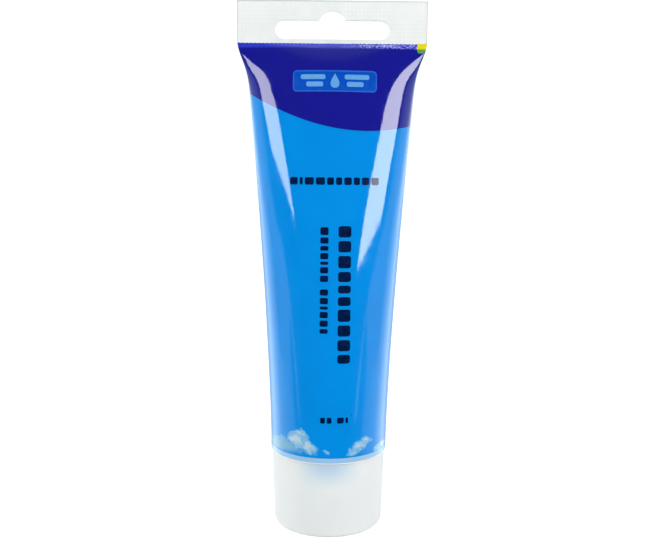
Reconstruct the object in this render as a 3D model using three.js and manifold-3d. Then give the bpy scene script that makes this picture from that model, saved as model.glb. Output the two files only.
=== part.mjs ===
// A paint tube: a clear squeezable sleeve, sealed flat at its tail and filled with paint,
// standing on its wide screw cap.
// Millimetres, +Z up. The origin is the centre of the cap's base; the printed front faces -Y.
import * as THREE from 'three';
import { mergeVertices } from 'three/addons/utils/BufferGeometryUtils.js';
import Module from 'manifold-3d';

const wasm = await Module();
wasm.setup();

// ---------- driving dimensions ----------

const GAP = 0.3; // clearance between two pieces that touch
const ROUND_SEGMENTS = 48; // facets round the large pieces
const SMALL_SEGMENTS = 36; // facets round the neck, the wad and the foil

const TUBE_RADIUS = 17.5; // the sleeve where it is still round
const TUBE_HEIGHT = 154.4; // floor to tail
const SLEEVE_WALL = 0.5;

const CRIMP_HEIGHT = 12.1; // the flat sealed tail
const CRIMP_HALF_WIDTH = TUBE_RADIUS * Math.PI / 2; // a flattened tube is half its perimeter wide
const CRIMP_HALF_THICKNESS = 0.55;

const FILL_SPREAD = 7.8; // extra half width that the filled sleeve keeps near the tail
const FILL_TAPER = 1.4; // how that extra width dies away towards the round end
const FOLD_LENGTH = 6.5; // the folds beside the seal relax over this length
const FOLD_EDGE_LENGTH = 8; // the pinched side edges die away over this length
const WEDGE_SLOPE = 0.8; // how steeply each wall opens out from the seal
const SEAL_ROLL = 0.9; // how far each wall rolls out right at the seal
const SEAL_ROLL_LENGTH = 1.2;
const LENS_LENGTH = 9; // a lens-shaped section turns oval over this length

const SLOT = { width: 33, height: 5.4, aboveSeal: 1.2, domeRadius: 3.9, domeRise: 8.1 };

const CAP = {
  height: 22.5,
  topRadius: 17.05,
  baseRadius: 16.4,
  baseRounding: 1.3,
  wall: 1.2,
  floor: 1.8,
  recessRadius: 12,
  recessDepth: 0.5,
  edge: 0.3, // small chamfers
};

const THREAD = {
  lead: 3,
  height: 1,
  rootWidth: 1.6,
  crestWidth: 0.7,
  bite: 0.3, // how far a ridge is sunk into its wall
  stepsPerTurn: 24,
  fadeTurns: 0.12, // a ridge fades into its wall over this part of a turn
};

const NECK = {
  radius: 6.3,
  bore: 4.6,
  orifice: 2.8,
  tipThickness: 1.4,
  tip: 8.8, // height of the nozzle's tip
  top: 19.2, // height where the neck meets the cone
  threadTop: 18.1,
  threadTurns: 2.6,
};

const SHOULDER = { rimThickness: 1.7, rimWidth: 1.4, coneRoot: 7.3, coneRise: 0.8, innerRoot: 5.6 };

const BOSS = {
  wall: 1.25,
  top: 17.8,
  bore: NECK.radius + THREAD.height + 0.35,
  threadTop: NECK.threadTop - THREAD.lead / 2, // midway between the neck's ridges
  threadTurns: 2.1,
};

const FOIL = { radius: 6.2, thickness: 0.25 };
const WAD = { radius: 7.1, thickness: 1.7, chamfer: 0.25 };
const SEAT_POST = { outer: 5.4, inner: 3.4 };

const PAINT_LEVEL = 129; // height of the paint's surface

// ---------- derived heights ----------

const sleeveBottom = CAP.height + GAP;
const sealBottom = TUBE_HEIGHT - CRIMP_HEIGHT;
const filledLength = sealBottom - sleeveBottom;
const rimTop = sleeveBottom + SHOULDER.rimThickness;
const foilTop = NECK.tip - GAP;
const wadTop = foilTop - FOIL.thickness - GAP;
const seatTop = wadTop - WAD.thickness - GAP;

// ---------- helpers ----------

const point = (x, y) => new THREE.Vector2(x, y);

// A closed solid from a geometry whose faces meet only at shared positions.
function solid(geometry) {
  const bare = geometry.clone();
  bare.deleteAttribute('normal');
  bare.deleteAttribute('uv');
  const merged = mergeVertices(bare);
  const corners = merged.index.array;
  const faces = [];
  for (let i = 0; i < corners.length; i += 3) {
    const [a, b, c] = corners.slice(i, i + 3);
    const flat = a === b || b === c || c === a;
    if (!flat) {
      faces.push(a, b, c);
    }
  }
  return new wasm.Manifold(new wasm.Mesh({
    numProp: 3,
    vertProperties: new Float32Array(merged.attributes.position.array),
    triVerts: new Uint32Array(faces),
  }));
}

function piece(name, body, look) {
  const { vertProperties, triVerts } = body.getMesh();
  const geometry = new THREE.BufferGeometry();
  geometry.setAttribute('position', new THREE.BufferAttribute(vertProperties, 3));
  geometry.setIndex(new THREE.BufferAttribute(triVerts, 1));
  geometry.computeVertexNormals();
  const mesh = new THREE.Mesh(geometry, new THREE.MeshStandardMaterial(look));
  mesh.name = name;
  return mesh;
}

// A profile of (radius, height) points turned round the Z axis.
function turned(profile, segments) {
  const geometry = new THREE.LatheGeometry(profile, segments);
  geometry.rotateX(Math.PI / 2);
  return geometry;
}

// The points of a round edge, from one angle to another about (x, y).
function roundEdge(x, y, radius, fromAngle, toAngle, steps = 5) {
  const points = [];
  for (let i = 0; i <= steps; i += 1) {
    const angle = THREE.MathUtils.lerp(fromAngle, toAngle, i / steps);
    points.push(point(x + radius * Math.cos(angle), y + radius * Math.sin(angle)));
  }
  return points;
}

// A right-hand thread ridge that winds down from topZ round the Z axis.
// It stands on wallRadius, points outwards when outward is 1 and inwards when it is -1.
function threadRidge(wallRadius, outward, topZ, turns) {
  const sunk = wallRadius - outward * THREAD.bite;
  const crest = wallRadius + outward * THREAD.height;
  const section = new THREE.Shape([
    point(sunk, -THREAD.rootWidth / 2),
    point(crest, -THREAD.crestWidth / 2),
    point(crest, THREAD.crestWidth / 2),
    point(sunk, THREAD.rootWidth / 2),
  ]);
  const steps = Math.ceil(turns * THREAD.stepsPerTurn);
  const geometry = new THREE.ExtrudeGeometry(section, { depth: turns, steps, bevelEnabled: false });
  const position = geometry.attributes.position;
  for (let i = 0; i < position.count; i += 1) {
    const along = position.getZ(i);
    const toEnd = Math.min(along, turns - along);
    const fade = THREE.MathUtils.smoothstep(toEnd, 0, THREAD.fadeTurns);
    const radius = THREE.MathUtils.lerp(sunk, position.getX(i), 0.15 + 0.85 * fade);
    const angle = -along * 2 * Math.PI;
    const z = topZ + position.getY(i) - along * THREAD.lead;
    position.setXYZ(i, radius * Math.cos(angle), radius * Math.sin(angle), z);
  }
  return solid(geometry);
}

// ---------- the sleeve's changing section ----------

// Half width of the filled sleeve, a given distance below the seal.
function halfWidthAt(below) {
  const toRoundEnd = Math.max(0, 1 - below / filledLength);
  const foldSpread = CRIMP_HALF_WIDTH - TUBE_RADIUS - FILL_SPREAD;
  const filled = FILL_SPREAD * toRoundEnd ** FILL_TAPER;
  return TUBE_RADIUS + filled + foldSpread * Math.exp(-((below / FOLD_LENGTH) ** 2));
}

// 1 gives an oval, 2 a lens with sharp side folds.
function pinchAt(below) {
  return 1 + Math.exp(-below / LENS_LENGTH);
}

// One quarter of the section's outline, measured along the curve.
function quarterOutline(halfWidth, halfDepth, pinch) {
  const steps = 48;
  let length = 0;
  let last = point(halfWidth, 0);
  for (let i = 1; i <= steps; i += 1) {
    const angle = i / steps * Math.PI / 2;
    const next = point(halfWidth * Math.cos(angle), halfDepth * Math.sin(angle) ** pinch);
    length += last.distanceTo(next);
    last = next;
  }
  return length;
}

// The sleeve doesn't stretch, so a full section's depth follows from its width.
function fullHalfDepthAt(below) {
  const halfWidth = halfWidthAt(below);
  const pinch = pinchAt(below);
  const target = TUBE_RADIUS * Math.PI / 2;
  let low = 0;
  let high = TUBE_RADIUS;
  for (let i = 0; i < 40; i += 1) {
    const middle = (low + high) / 2;
    if (quarterOutline(halfWidth, middle, pinch) < target) {
      low = middle;
    } else {
      high = middle;
    }
  }
  return low;
}

// The walls leave the seal as a wedge, and swell to the full section further down.
function halfDepthAt(below) {
  const full = fullHalfDepthAt(below);
  const roll = SEAL_ROLL * (1 - Math.exp(-below / SEAL_ROLL_LENGTH));
  const wedge = CRIMP_HALF_THICKNESS + roll + WEDGE_SLOPE * below;
  return Math.max(CRIMP_HALF_THICKNESS, full * wedge / (full ** 4 + wedge ** 4) ** 0.25);
}

// Reshapes a unit-radius turned solid into the sleeve's section, set in from its outside.
function shapeToSleeve(geometry, inset) {
  const edgeSine = Math.sin(2 * Math.PI / ROUND_SEGMENTS);
  const position = geometry.attributes.position;
  for (let i = 0; i < position.count; i += 1) {
    const cosine = position.getX(i);
    const sine = position.getY(i);
    const z = position.getZ(i);
    const below = Math.max(0, sealBottom - z);
    const side = Math.sign(sine);
    const size = Math.abs(sine) < 1e-9 ? 0 : Math.abs(sine);
    const halfWidth = halfWidthAt(below) - inset;
    const halfDepth = halfDepthAt(below) - inset;
    const foldEdge = CRIMP_HALF_THICKNESS * Math.exp(-below / FOLD_EDGE_LENGTH);
    const edge = inset > 0 ? 0 : Math.min(foldEdge, halfDepth);
    const slab = edge * Math.min(1, size / edgeSine);
    const bulge = (halfDepth - edge) * size ** pinchAt(below);
    position.setXYZ(i, cosine * halfWidth, side * (slab + bulge), z);
  }
  return solid(geometry);
}

// Heights that follow the sleeve, closer together towards the seal.
function sleeveHeights(from, to, count) {
  const heights = [];
  for (let i = 0; i <= count; i += 1) {
    const share = 1 - (1 - i / count) ** 1.8;
    heights.push(THREE.MathUtils.lerp(from, to, share));
  }
  return heights;
}

function columnProfile(heights) {
  const wall = heights.map((z) => point(1, z));
  return [point(0, heights[0]), ...wall, point(0, heights.at(-1))];
}

// ---------- the pieces ----------

// Round-ended hang slot with a raised dome in the middle for a single hook.
function hangSlotCutter() {
  const radius = SLOT.height / 2;
  const reach = SLOT.width / 2 - radius;
  const outline = new THREE.Shape();
  outline.absarc(reach, radius, radius, -Math.PI / 2, Math.PI / 2, false);
  outline.absarc(-reach, radius, radius, Math.PI / 2, Math.PI * 3 / 2, false);
  outline.closePath();
  const dome = new THREE.Shape();
  dome.absarc(0, SLOT.domeRise - SLOT.domeRadius, SLOT.domeRadius, 0, Math.PI * 2, false);
  const depth = 8;
  const cutters = [outline, dome].map((shape) => {
    const geometry = new THREE.ExtrudeGeometry(shape, { depth, curveSegments: 12, bevelEnabled: false });
    geometry.translate(0, 0, -depth / 2);
    geometry.rotateX(Math.PI / 2);
    geometry.translate(0, 0, sealBottom + SLOT.aboveSeal);
    return solid(geometry);
  });
  return cutters[0].add(cutters[1]);
}

function makeSleeve() {
  const heights = [...sleeveHeights(sleeveBottom, sealBottom, 18), sealBottom + 0.4, TUBE_HEIGHT];
  const outside = shapeToSleeve(turned(columnProfile(heights), ROUND_SEGMENTS), 0);
  const hollowTop = sealBottom - 1.2;
  const hollow = [sleeveBottom - 1, ...sleeveHeights(sleeveBottom, hollowTop, 12)];
  const inside = shapeToSleeve(turned(columnProfile(hollow), ROUND_SEGMENTS), SLEEVE_WALL);
  return outside.subtract(inside).subtract(hangSlotCutter());
}

function makeShoulder() {
  const rimRadius = TUBE_RADIUS - SLEEVE_WALL - GAP;
  const coneEdge = rimRadius - SHOULDER.rimWidth;
  const tipInside = NECK.tip + NECK.tipThickness;
  const profile = [
    point(NECK.orifice, NECK.tip),
    point(NECK.radius - 0.4, NECK.tip),
    point(NECK.radius, NECK.tip + 0.4),
    point(NECK.radius, NECK.top),
    point(NECK.radius + 0.3, NECK.top + 0.5),
    point(SHOULDER.coneRoot, NECK.top + SHOULDER.coneRise),
    point(coneEdge, sleeveBottom),
    point(rimRadius, sleeveBottom),
    point(rimRadius, rimTop),
    point(coneEdge, rimTop),
    point(SHOULDER.innerRoot, NECK.top + 2.1),
    point(NECK.bore, NECK.top + 1.1),
    point(NECK.bore, tipInside),
    point(NECK.orifice, tipInside),
    point(NECK.orifice, NECK.tip),
  ];
  const body = solid(turned(profile, SMALL_SEGMENTS));
  return body.add(threadRidge(NECK.radius, 1, NECK.threadTop, NECK.threadTurns));
}

function makePaint() {
  const inset = SLEEVE_WALL + GAP;
  const bottom = rimTop + GAP;
  const heights = sleeveHeights(bottom, PAINT_LEVEL, 10);
  const column = shapeToSleeve(turned(columnProfile(heights), ROUND_SEGMENTS), inset);
  const neckBottom = NECK.tip + NECK.tipThickness + GAP;
  const coneEdge = TUBE_RADIUS - inset - SHOULDER.rimWidth;
  const profile = [
    point(0, NECK.tip + 0.1),
    point(NECK.orifice - GAP, NECK.tip + 0.1),
    point(NECK.orifice - GAP, neckBottom),
    point(NECK.bore - GAP, neckBottom),
    point(NECK.bore - GAP, NECK.top + 1.3),
    point(SHOULDER.innerRoot - 0.15, NECK.top + 2.45),
    point(coneEdge, bottom + 0.05),
    point(coneEdge, bottom + 1),
    point(0, bottom + 1),
  ];
  return column.add(solid(turned(profile, SMALL_SEGMENTS)));
}

function makeCap() {
  const base = CAP.baseRadius;
  const rounding = CAP.baseRounding;
  const bossOutside = BOSS.bore + BOSS.wall;
  const insideBase = base - CAP.wall;
  const profile = [
    point(0, CAP.recessDepth),
    point(CAP.recessRadius, CAP.recessDepth),
    point(CAP.recessRadius + CAP.recessDepth, 0),
    ...roundEdge(base - rounding, rounding, rounding, -Math.PI / 2, 0),
    point(CAP.topRadius, CAP.height - CAP.edge),
    point(CAP.topRadius - CAP.edge, CAP.height),
    point(CAP.topRadius - CAP.wall + CAP.edge / 2, CAP.height),
    point(CAP.topRadius - CAP.wall, CAP.height - CAP.edge),
    ...roundEdge(insideBase - 1, CAP.floor + 1, 1, 0, -Math.PI / 2, 3),
    point(bossOutside, CAP.floor),
    point(bossOutside, BOSS.top - CAP.edge),
    point(bossOutside - CAP.edge, BOSS.top),
    point(BOSS.bore + CAP.edge, BOSS.top),
    point(BOSS.bore, BOSS.top - CAP.edge),
    point(BOSS.bore, CAP.floor),
    point(SEAT_POST.outer, CAP.floor),
    point(SEAT_POST.outer, seatTop),
    point(SEAT_POST.inner, seatTop),
    point(SEAT_POST.inner, CAP.floor),
    point(0, CAP.floor),
  ];
  const body = solid(turned(profile, ROUND_SEGMENTS));
  return body.add(threadRidge(BOSS.bore, -1, BOSS.threadTop, BOSS.threadTurns));
}

function makeWad() {
  const { radius, thickness, chamfer } = WAD;
  const bottom = wadTop - thickness;
  return solid(turned([
    point(0, bottom),
    point(radius - chamfer, bottom),
    point(radius, bottom + chamfer),
    point(radius, wadTop - chamfer),
    point(radius - chamfer, wadTop),
    point(0, wadTop),
  ], SMALL_SEGMENTS));
}

function makeFoil() {
  const bottom = foilTop - FOIL.thickness;
  return solid(turned([
    point(0, bottom),
    point(FOIL.radius, bottom),
    point(FOIL.radius, foilTop),
    point(0, foilTop),
  ], SMALL_SEGMENTS));
}

// ---------- the assembly ----------

const tube = new THREE.Group();
tube.add(
  piece('cap', makeCap(), { color: 0xe4e9ec, roughness: 0.45, metalness: 0 }),
  piece('cap_liner', makeWad(), { color: 0xf4f4f0, roughness: 0.8, metalness: 0 }),
  piece('orifice_seal', makeFoil(), { color: 0xc9ccd0, roughness: 0.3, metalness: 1 }),
  piece('shoulder', makeShoulder(), { color: 0xf0f1ee, roughness: 0.5, metalness: 0 }),
  piece('sleeve', makeSleeve(), { color: 0x0089e4, roughness: 0.15, metalness: 0 }),
  piece('paint', makePaint(), { color: 0x0077d8, roughness: 0.4, metalness: 0 }),
);

export default tube;
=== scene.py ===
# A paint tube standing on its screw cap: the looks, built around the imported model.
# Shapes are worked out in millimetres, +Z up with the printed front towards -Y, and placed in metres.
import math

import bmesh
import bpy
from mathutils import Matrix, Vector, noise


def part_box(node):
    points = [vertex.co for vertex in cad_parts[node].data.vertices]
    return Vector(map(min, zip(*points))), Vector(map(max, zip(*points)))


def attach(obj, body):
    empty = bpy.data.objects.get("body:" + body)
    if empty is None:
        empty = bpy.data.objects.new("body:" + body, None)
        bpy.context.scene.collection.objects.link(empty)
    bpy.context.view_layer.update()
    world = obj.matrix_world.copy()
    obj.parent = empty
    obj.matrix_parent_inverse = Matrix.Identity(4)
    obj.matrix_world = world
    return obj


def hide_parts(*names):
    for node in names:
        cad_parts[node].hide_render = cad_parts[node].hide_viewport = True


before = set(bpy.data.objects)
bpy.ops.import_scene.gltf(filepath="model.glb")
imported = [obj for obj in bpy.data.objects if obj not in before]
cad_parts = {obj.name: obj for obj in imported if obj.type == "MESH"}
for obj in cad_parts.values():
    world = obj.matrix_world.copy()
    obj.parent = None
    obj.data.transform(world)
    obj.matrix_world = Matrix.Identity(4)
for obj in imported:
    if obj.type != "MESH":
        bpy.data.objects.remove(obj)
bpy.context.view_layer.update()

MM = 0.001


def node_mm(node):
    low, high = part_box(node)
    return low / MM, high / MM


# ---------- sizes, in millimetres ----------

SLEEVE_LOW, SLEEVE_HIGH = node_mm("sleeve")
CAP_HIGH = node_mm("cap")[1]
SHOULDER_LOW, SHOULDER_HIGH = node_mm("shoulder")
WAD_LOW, WAD_HIGH = node_mm("cap_liner")
FOIL_LOW, FOIL_HIGH = node_mm("orifice_seal")
PAINT_LOW, PAINT_HIGH = node_mm("paint")

TUBE_RADIUS = 17.49  # the sleeve where it is still round
SLEEVE_WALL = 0.5
CRIMP_HEIGHT = 12.1  # the flat sealed tail
CRIMP_HALF_WIDTH = SLEEVE_HIGH.x
CRIMP_HALF_THICKNESS = 0.55
FILL_SPREAD = 7.8  # extra half width that the filled sleeve keeps near the tail
FILL_TAPER = 1.4  # how that extra width dies away towards the round end
FOLD_LENGTH = 6.5  # the folds beside the seal relax over this length
FOLD_EDGE_LENGTH = 8  # the pinched side edges die away over this length
EDGE_SINE = math.sin(math.radians(7.5))  # how far round from the side a pinched edge reaches
WEDGE_SLOPE = 0.8  # how steeply each wall opens out from the seal
SEAL_ROLL = 0.9  # how far each wall rolls out right at the seal
SEAL_ROLL_LENGTH = 1.2
LENS_LENGTH = 9  # a lens-shaped section turns oval over this length

SEAL = SLEEVE_HIGH.z - CRIMP_HEIGHT
FILLED_LENGTH = SEAL - SLEEVE_LOW.z

SLOT_HALF_WIDTH = 16.5
SLOT_RADIUS = 2.7
SLOT_BOTTOM = SEAL + 1.2
DOME_RADIUS = 3.9
DOME_TOP = SLOT_BOTTOM + 8.1

THREAD_LEAD = 3
THREAD_HEIGHT = 1
THREAD_ROOT = 1.6
THREAD_CREST = 0.7
THREAD_BITE = 0.3  # how far a ridge is sunk into its wall
THREAD_FADE = 0.15  # a ridge fades into its wall over this part of a turn

NECK_RADIUS = 6.3
NECK_BORE = 4.6
NECK_TIP = SHOULDER_LOW.z
NECK_TOP = 19.2  # where the neck meets the cone
NECK_THREAD_TOP = 18.1
NECK_THREAD_TURNS = 2.6
ORIFICE_RADIUS = 2.8
TIP_THICKNESS = 1.4
SHOULDER_RIM_TOP = 24.5
SHOULDER_RIM_WIDTH = 1.4

CAP_WALL = 1.2
CAP_FLOOR = 1.8
CAP_BASE_RADIUS = CAP_HIGH.x - 0.65
RECESS_RADIUS = 12
RECESS_DEPTH = 0.5
BOSS_BORE = 7.65
BOSS_OUTSIDE = 8.9
BOSS_TOP = 17.8
BOSS_THREAD_TOP = NECK_THREAD_TOP - THREAD_LEAD / 2  # midway between the neck's ridges
BOSS_THREAD_TURNS = 2.1
POST_OUTSIDE = 5.4
POST_INSIDE = 3.4
POST_TOP = WAD_LOW.z - 0.3


# ---------- mesh helpers ----------

SHARP_DEGREES = 40  # an edge that turns by more than this stays sharp


def mesh_piece(name, points, faces, materials):
    """A piece from points in millimetres."""
    mesh = bpy.data.meshes.new(name)
    mesh.from_pydata([(x * MM, y * MM, z * MM) for x, y, z in points], [], faces)
    mesh.update()
    piece = bpy.data.objects.new(name, mesh)
    bpy.context.scene.collection.objects.link(piece)
    for material in materials:
        mesh.materials.append(material)
    return piece


def closed_piece(name, points, faces, materials=()):
    """A piece whose mesh is closed, with its faces turned outwards."""
    piece = mesh_piece(name, points, faces, materials)
    mesh = bmesh.new()
    mesh.from_mesh(piece.data)
    bmesh.ops.recalc_face_normals(mesh, faces=mesh.faces)
    mesh.to_mesh(piece.data)
    mesh.free()
    return piece


def mount(piece, body, slot, *nodes):
    """Smooths a piece, which rides on a body and stands for the CAD nodes named. The slot argument is not
    used.
    """
    piece.data.shade_smooth()
    piece.data.set_sharp_from_angle(angle=math.radians(SHARP_DEGREES))
    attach(piece, body)
    if nodes:
        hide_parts(*nodes)
    return piece


def combine(piece, tool, operation):
    """Joins tool to piece, or cuts it away, and removes tool."""
    modifier = piece.modifiers.new("combine", "BOOLEAN")
    modifier.operation = operation
    modifier.solver = "MANIFOLD"
    modifier.object = tool
    depsgraph = bpy.context.evaluated_depsgraph_get()
    result = bpy.data.meshes.new_from_object(piece.evaluated_get(depsgraph))
    piece.modifiers.remove(modifier)
    old = piece.data
    name = old.name
    piece.data = result
    bpy.data.meshes.remove(old)
    result.name = name
    bpy.data.objects.remove(tool)


def softened(corners, steps=5, closed=False):
    """Rounds the corners of an outline. Each corner is (x, y, size of its rounding)."""
    points = []
    last = len(corners) - 1
    for i, (x, y, size) in enumerate(corners):
        corner = Vector((x, y))
        end = not closed and i in (0, last)
        if size == 0 or end:
            points.append(corner)
            continue
        before = Vector(corners[i - 1][:2]) - corner
        after = Vector(corners[(i + 1) % len(corners)][:2]) - corner
        start = corner + before.normalized() * min(size, before.length / 2)
        finish = corner + after.normalized() * min(size, after.length / 2)
        for step in range(steps + 1):
            t = step / steps
            points.append(start * (1 - t) ** 2 + corner * 2 * t * (1 - t) + finish * t**2)
    return points


def loft(rings, close_start=True, close_end=True, join_ends=False):
    """Points and faces of a surface through rings that all have the same number of points."""
    count = len(rings[0])
    points = [point for ring in rings for point in ring]
    faces = []
    pairs = list(zip(range(len(rings) - 1), range(1, len(rings))))
    if join_ends:
        pairs.append((len(rings) - 1, 0))
    for low, high in pairs:
        for i in range(count):
            j = (i + 1) % count
            faces.append((low * count + i, low * count + j, high * count + j, high * count + i))
    if close_start:
        faces.append(tuple(reversed(range(count))))
    if close_end:
        start = (len(rings) - 1) * count
        faces.append(tuple(range(start, start + count)))
    return points, faces


def circle(radius, z, segments):
    turn = 2 * math.pi / segments
    return [(radius * math.cos(i * turn), radius * math.sin(i * turn), z) for i in range(segments)]


def turned(profile, segments):
    """A profile of (radius, z) turned round the axis, from the axis back to it or closed on itself."""
    on_axis = profile[0][0] < 1e-6
    rings = [circle(radius, z, segments) for radius, z in profile if radius > 1e-6]
    return loft(rings, close_start=on_axis, close_end=on_axis, join_ends=not on_axis)


def turned_piece(name, profile, segments, materials):
    return closed_piece(name, *turned(profile, segments), materials)


def thread_ridge(name, wall, outward, top_z, turns):
    """A right-hand thread ridge winding down from top_z, outwards (1) or inwards (-1) from a wall."""
    sunk = wall - outward * THREAD_BITE
    crest = wall + outward * THREAD_HEIGHT
    corners = [
        (sunk, -THREAD_ROOT / 2, 0),
        (crest, -THREAD_CREST / 2, 0.2),
        (crest, THREAD_CREST / 2, 0.2),
        (sunk, THREAD_ROOT / 2, 0),
    ]
    section = softened(corners, steps=3, closed=True)
    steps = round(turns * 64)
    rings = []
    for step in range(steps + 1):
        along = step / steps * turns
        to_end = min(along, turns - along)
        rise = 0.12 + 0.88 * smoothstep(0, THREAD_FADE, to_end)
        angle = -along * 2 * math.pi
        ring = []
        for x, y in section:
            radius = sunk + (x - sunk) * rise
            z = top_z + y - along * THREAD_LEAD
            ring.append((radius * math.cos(angle), radius * math.sin(angle), z))
        rings.append(ring)
    return closed_piece(name, *loft(rings))


def smoothstep(low, high, value):
    t = min(1, max(0, (value - low) / (high - low)))
    return t * t * (3 - 2 * t)


# ---------- material helpers ----------


def linear(red, green, blue):
    """An sRGB colour, 0 to 255, as Blender's linear one."""

    def channel(value):
        value /= 255
        return value / 12.92 if value <= 0.04045 else ((value + 0.055) / 1.055) ** 2.4

    return (channel(red), channel(green), channel(blue), 1)


class Look:
    """A material with one Principled shader, and short calls for the nodes that feed it."""

    def __init__(self, name):
        self.material = bpy.data.materials.new(name)
        self.material.use_nodes = True
        self.tree = self.material.node_tree
        self.shader = self.tree.nodes["Principled BSDF"]
        self.place = self.add("ShaderNodeTexCoord").outputs["Object"]

    def add(self, kind, **settings):
        node = self.tree.nodes.new(kind)
        for name, value in settings.items():
            setattr(node, name, value)
        return node

    def feed(self, socket, value):
        """Links a socket, or sets a plain value."""
        if isinstance(value, bpy.types.NodeSocket):
            self.tree.links.new(value, socket)
        else:
            socket.default_value = value

    def set(self, **inputs):
        for name, value in inputs.items():
            self.feed(self.shader.inputs[name.replace("_", " ")], value)

    def maths(self, operation, *values):
        node = self.add("ShaderNodeMath", operation=operation)
        for socket, value in zip(node.inputs, values):
            self.feed(socket, value)
        return node.outputs[0]

    def product(self, first, second):
        return self.maths("MULTIPLY", first, second)

    def axis(self, name):
        """One of the object coordinates, in millimetres."""
        split = self.add("ShaderNodeSeparateXYZ")
        self.feed(split.inputs[0], self.place)
        return self.maths("DIVIDE", split.outputs[name], MM)

    def stretched(self, x, y, z):
        """Object coordinates, scaled unevenly."""
        node = self.add("ShaderNodeVectorMath", operation="MULTIPLY")
        self.feed(node.inputs[0], self.place)
        node.inputs[1].default_value = (x, y, z)
        return node.outputs[0]

    def noise(self, size, detail=2.0, roughness=0.5, place=None):
        """Soft noise from 0 to 1 with features of a size in millimetres."""
        node = self.add("ShaderNodeTexNoise")
        self.feed(node.inputs["Vector"], place or self.place)
        node.inputs["Scale"].default_value = 1 / (size * MM)
        node.inputs["Detail"].default_value = detail
        node.inputs["Roughness"].default_value = roughness
        return node.outputs[0]

    def cells(self, size):
        """Distance to the nearest of many scattered points, in cells of a size in millimetres."""
        node = self.add("ShaderNodeTexVoronoi")
        self.feed(node.inputs["Vector"], self.place)
        node.inputs["Scale"].default_value = 1 / (size * MM)
        return node.outputs["Distance"]

    def ramp(self, value, low, high, at_low=0.0, at_high=1.0):
        """Eases from at_low to at_high as value goes from low to high."""
        node = self.add("ShaderNodeMapRange", interpolation_type="SMOOTHSTEP")
        inputs = (value, low, high, at_low, at_high)
        for socket, entry in zip(node.inputs, inputs):
            self.feed(socket, entry)
        return node.outputs[0]

    def blend(self, factor, first, second):
        """Mixes two colours."""
        node = self.add("ShaderNodeMix", data_type="RGBA")
        self.feed(node.inputs["Factor"], factor)
        self.feed(node.inputs[6], first)
        self.feed(node.inputs[7], second)
        return node.outputs[2]

    def attribute(self, name):
        """A number kept with each point of the mesh."""
        return self.add("ShaderNodeAttribute", attribute_name=name).outputs["Fac"]

    def bump(self, height, depth, under=None):
        """A normal from a height of 0 to 1 that stands for a depth in millimetres."""
        node = self.add("ShaderNodeBump")
        node.inputs["Distance"].default_value = depth * MM
        self.feed(node.inputs["Height"], height)
        if under is not None:
            self.feed(node.inputs["Normal"], under)
        return node.outputs["Normal"]


# ---------- materials ----------

SKY_BLUE = linear(0, 137, 222)
DEEPER_BLUE = linear(0, 134, 218)
SPECK_BLUE = linear(0, 66, 128)
VOID_GREY = linear(180, 204, 220)
VOID_BLUE = linear(122, 180, 216)
VOID_CYAN = linear(133, 201, 214)
FAINT_BLUE = linear(128, 175, 198)
RIM_BLUE = linear(150, 190, 224)
RIM_LINE_BLUE = linear(158, 192, 222)
INDIGO = linear(21, 22, 134)
PALER_INDIGO = linear(24, 25, 139)
PAINTED_HIGHLIGHT_INDIGO = linear(46, 55, 190)
CRAZED_INK = linear(158, 160, 220)
NAVY = linear(0, 19, 56)

RIM_SEEN_TOP = 24  # the shoulder's rim shows through the sleeve up to here
RIM_LINE_TOP = 24.25


def specked_paint(look):
    """Blue paint, a little uneven, with a few dark specks."""
    drift = look.noise(14, detail=2)
    paint = look.blend(look.ramp(drift, 0.35, 0.65), DEEPER_BLUE, SKY_BLUE)
    specks = look.ramp(look.cells(4.5), 0.05, 0.03)
    speck_patches = look.ramp(look.noise(11), 0.5, 0.56)
    return look.blend(look.product(specks, speck_patches), paint, SPECK_BLUE)


def add_voids(look, paint):
    """Pale air pockets behind the film, ragged and streaked, with a cyan fringe and faint outskirts."""
    streaks = look.noise(3, detail=3, roughness=0.55, place=look.stretched(1, 1, 1.5))
    streak_mm = look.product(look.maths("SUBTRACT", streaks, 0.5), 3.0)
    faint = look.maths("ADD", look.attribute("faint_mm"), streak_mm)
    paint = look.blend(look.ramp(faint, -0.6, 1.0, 0.0, 0.8), paint, FAINT_BLUE)
    ragged_mm = look.product(look.maths("SUBTRACT", look.noise(2.2), 0.5), 2.4)
    void = look.maths("ADD", look.attribute("void_mm"), ragged_mm)
    smear = look.blend(look.ramp(streaks, 0.42, 0.58), VOID_GREY, VOID_BLUE)
    paint = look.blend(look.ramp(void, -0.6, 0.7), paint, smear)
    fringe = look.product(look.ramp(void, -0.5, -0.2), look.ramp(void, 0.5, 0.1))
    sparkle = look.ramp(look.noise(0.9), 0.5, 0.6, 0, 0.8)
    return look.blend(look.product(fringe, sparkle), paint, VOID_CYAN)


def add_rim(look, paint, level):
    """The shoulder's pale rim behind the film, with a brighter line on top of it."""
    rim = look.ramp(level, RIM_SEEN_TOP + 0.05, RIM_SEEN_TOP - 0.05)
    paint = look.blend(rim, paint, RIM_BLUE)
    under_top = look.ramp(level, RIM_LINE_TOP + 0.05, RIM_LINE_TOP - 0.05)
    over_rim = look.ramp(level, RIM_SEEN_TOP - 0.1, RIM_SEEN_TOP)
    return look.blend(look.product(under_top, over_rim), paint, RIM_LINE_BLUE)


def band_ink(look, level):
    """Indigo ink, painted lighter in a strip under the crimp as a painted highlight where the film rolls
    up into the seal, and crazed towards its right end.
    """
    ink_colour = look.blend(look.noise(20), INDIGO, PALER_INDIGO)
    # Painted highlight: the strip under the crimp, where the film rolls up towards the light above, is
    # painted in lighter ink.
    stretched = look.ramp(level, SEAL - 1.7, SEAL - 0.9)
    ink_colour = look.blend(stretched, ink_colour, PAINTED_HIGHLIGHT_INDIGO)
    ticks = look.ramp(look.noise(0.7), 0.44, 0.6)
    crazed = look.product(ticks, look.ramp(look.axis("X"), 0, 16))
    return look.blend(look.product(crazed, stretched), ink_colour, CRAZED_INK)


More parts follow.
